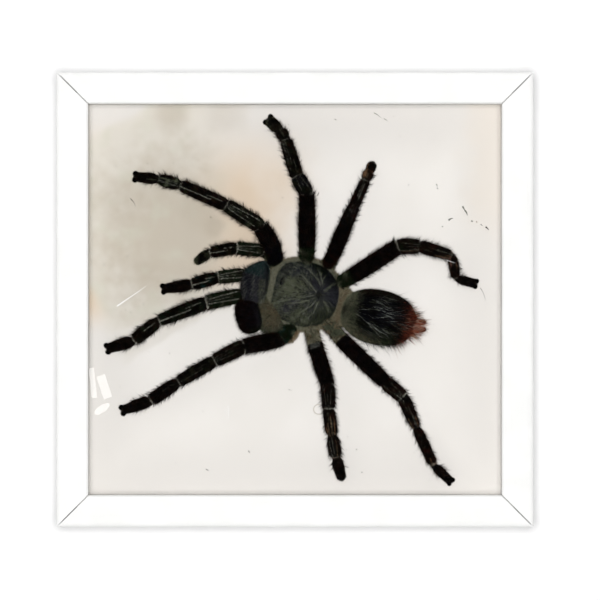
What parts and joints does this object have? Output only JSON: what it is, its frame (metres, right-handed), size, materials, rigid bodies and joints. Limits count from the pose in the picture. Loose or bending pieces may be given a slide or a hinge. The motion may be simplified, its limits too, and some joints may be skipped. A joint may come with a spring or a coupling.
{
  "type": "framed tarantula specimen",
  "caption": "Dried tarantula laid out on a cream board behind clear glass in a slim white shadow-box frame with a toothed hanging plate on its back.",
  "frame": {"origin": "under the middle of the frame, in the plane of the rails' back edges", "axes": "+Z out of the glass, +Y towards the frame's top edge, -X the way the spider faces"},
  "size_m": [0.151, 0.144, 0.0322],
  "materials": {
    "white_paint": "white satin paint",
    "clear_glass": "clear",
    "white_card": "matt",
    "cream_paper": "matt, stained",
    "hardboard": "brown hardboard",
    "steel": "zinc plated",
    "brass": "satin",
    "carapace": "short olive-grey down over dark chitin",
    "chelicera_fur": "blue-black short fur",
    "leg_fur": "black velvety fur with pale rings and stripes",
    "abdomen_fur": "dark fur with long pale and rust hairs",
    "rust_fur": "rust-red fur"
  },
  "bodies": {
    "root": {"rail_top": "white_paint", "rail_bottom": "white_paint", "rail_left": "white_paint", "rail_right": "white_paint", "spacer_top": "white_card", "spacer_bottom": "white_card", "spacer_left": "white_card", "spacer_right": "white_card", "back_tab_top": "steel", "back_tab_bottom": "steel", "back_tab_left": "steel", "back_tab_right": "steel", "hanger": "steel", "hanger_nail_left": "brass", "hanger_nail_right": "brass", "glazing": "clear_glass", "mounting_board": "cream_paper", "back_panel": "hardboard", "cephalothorax": "carapace", "abdomen": "abdomen_fur", "chelicera_left": "chelicera_fur", "chelicera_right": "chelicera_fur", "leg_1_left": "leg_fur", "leg_2_left": "leg_fur", "leg_3_left": "leg_fur", "leg_4_left": "leg_fur", "leg_1_right": "leg_fur", "leg_2_right": "leg_fur", "leg_3_right": "leg_fur", "leg_4_right": "leg_fur", "pedipalp_left": "leg_fur", "pedipalp_right": "leg_fur", "spinneret_left": "rust_fur", "spinneret_right": "rust_fur"}
  },
  "joints": []
}
